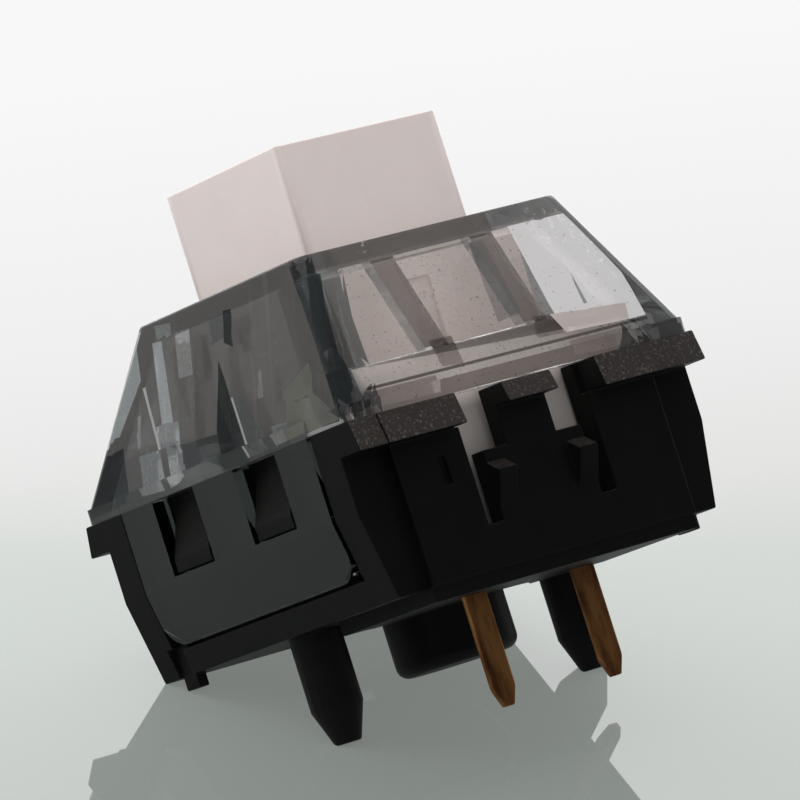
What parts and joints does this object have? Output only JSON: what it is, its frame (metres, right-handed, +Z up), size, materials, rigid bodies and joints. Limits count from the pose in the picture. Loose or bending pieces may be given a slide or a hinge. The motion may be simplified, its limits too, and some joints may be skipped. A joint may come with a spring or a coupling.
{
  "type": "mechanical key switch",
  "caption": "Plate and board mount key switch with a clear top, dark base and square-walled cross stem that travels on a coil spring and closes a contact.",
  "frame": {"origin": "centre of the centre post on the board's face", "axes": "+Z up along the stem, -Y towards the contact pins, flaps on the -X and +X sides"},
  "size_m": [0.0142, 0.0156, 0.0188],
  "materials": {
    "black_nylon": "satin moulding with fine scuffs",
    "clear_polycarbonate": "clear, slightly smoky, scratched and dusty",
    "pink_acetal": "satin, pale greyish pink",
    "pale_nylon": "satin, off-white",
    "white_acetal": "satin",
    "bronze_strip": "phosphor bronze, a little tarnished",
    "bronze_leaf": "rolled phosphor bronze",
    "contact_metal": "polished contact alloy",
    "spring_steel": "drawn steel wire"
  },
  "bodies": {
    "housing": {"bottom_housing": "black_nylon", "top_housing": "clear_polycarbonate", "contact_cover": "pale_nylon", "fixed_terminal": "bronze_strip", "fixed_contact_point": "contact_metal", "moving_terminal": "bronze_strip", "leaf_rivet": "bronze_strip", "return_spring": "spring_steel"},
    "slider": {"stem": "pink_acetal"},
    "pusher": {"contact_pusher": "white_acetal"},
    "leaf": {"moving_leaf": "bronze_leaf", "moving_contact_point": "contact_metal"}
  },
  "joints": [
    {"name": "stem_travel", "type": "slide", "parent": "housing", "child": "slider", "axis": [0, 0, -1], "range_m": [0, 0.0036], "stiffness_N_per_m": 100, "springref_m": -0.003, "deforming": ["return_spring"]},
    {"name": "pusher_slide", "type": "slide", "parent": "housing", "child": "pusher", "axis": [0, -1, 0], "range_m": [0, 0.000301]},
    {"name": "leaf_flex", "type": "hinge", "parent": "housing", "child": "leaf", "pos_m": [0.00375, -0.00425, 0.0044], "axis": [0, 0, 1], "range_deg": [0, 4.6]}
  ],
  "couplings": [
    {"joint": "pusher_slide", "follows": "stem_travel", "ratio": 0.083333},
    {"joint": "leaf_flex", "follows": "stem_travel", "rad_per_m": 22.17}
  ]
}
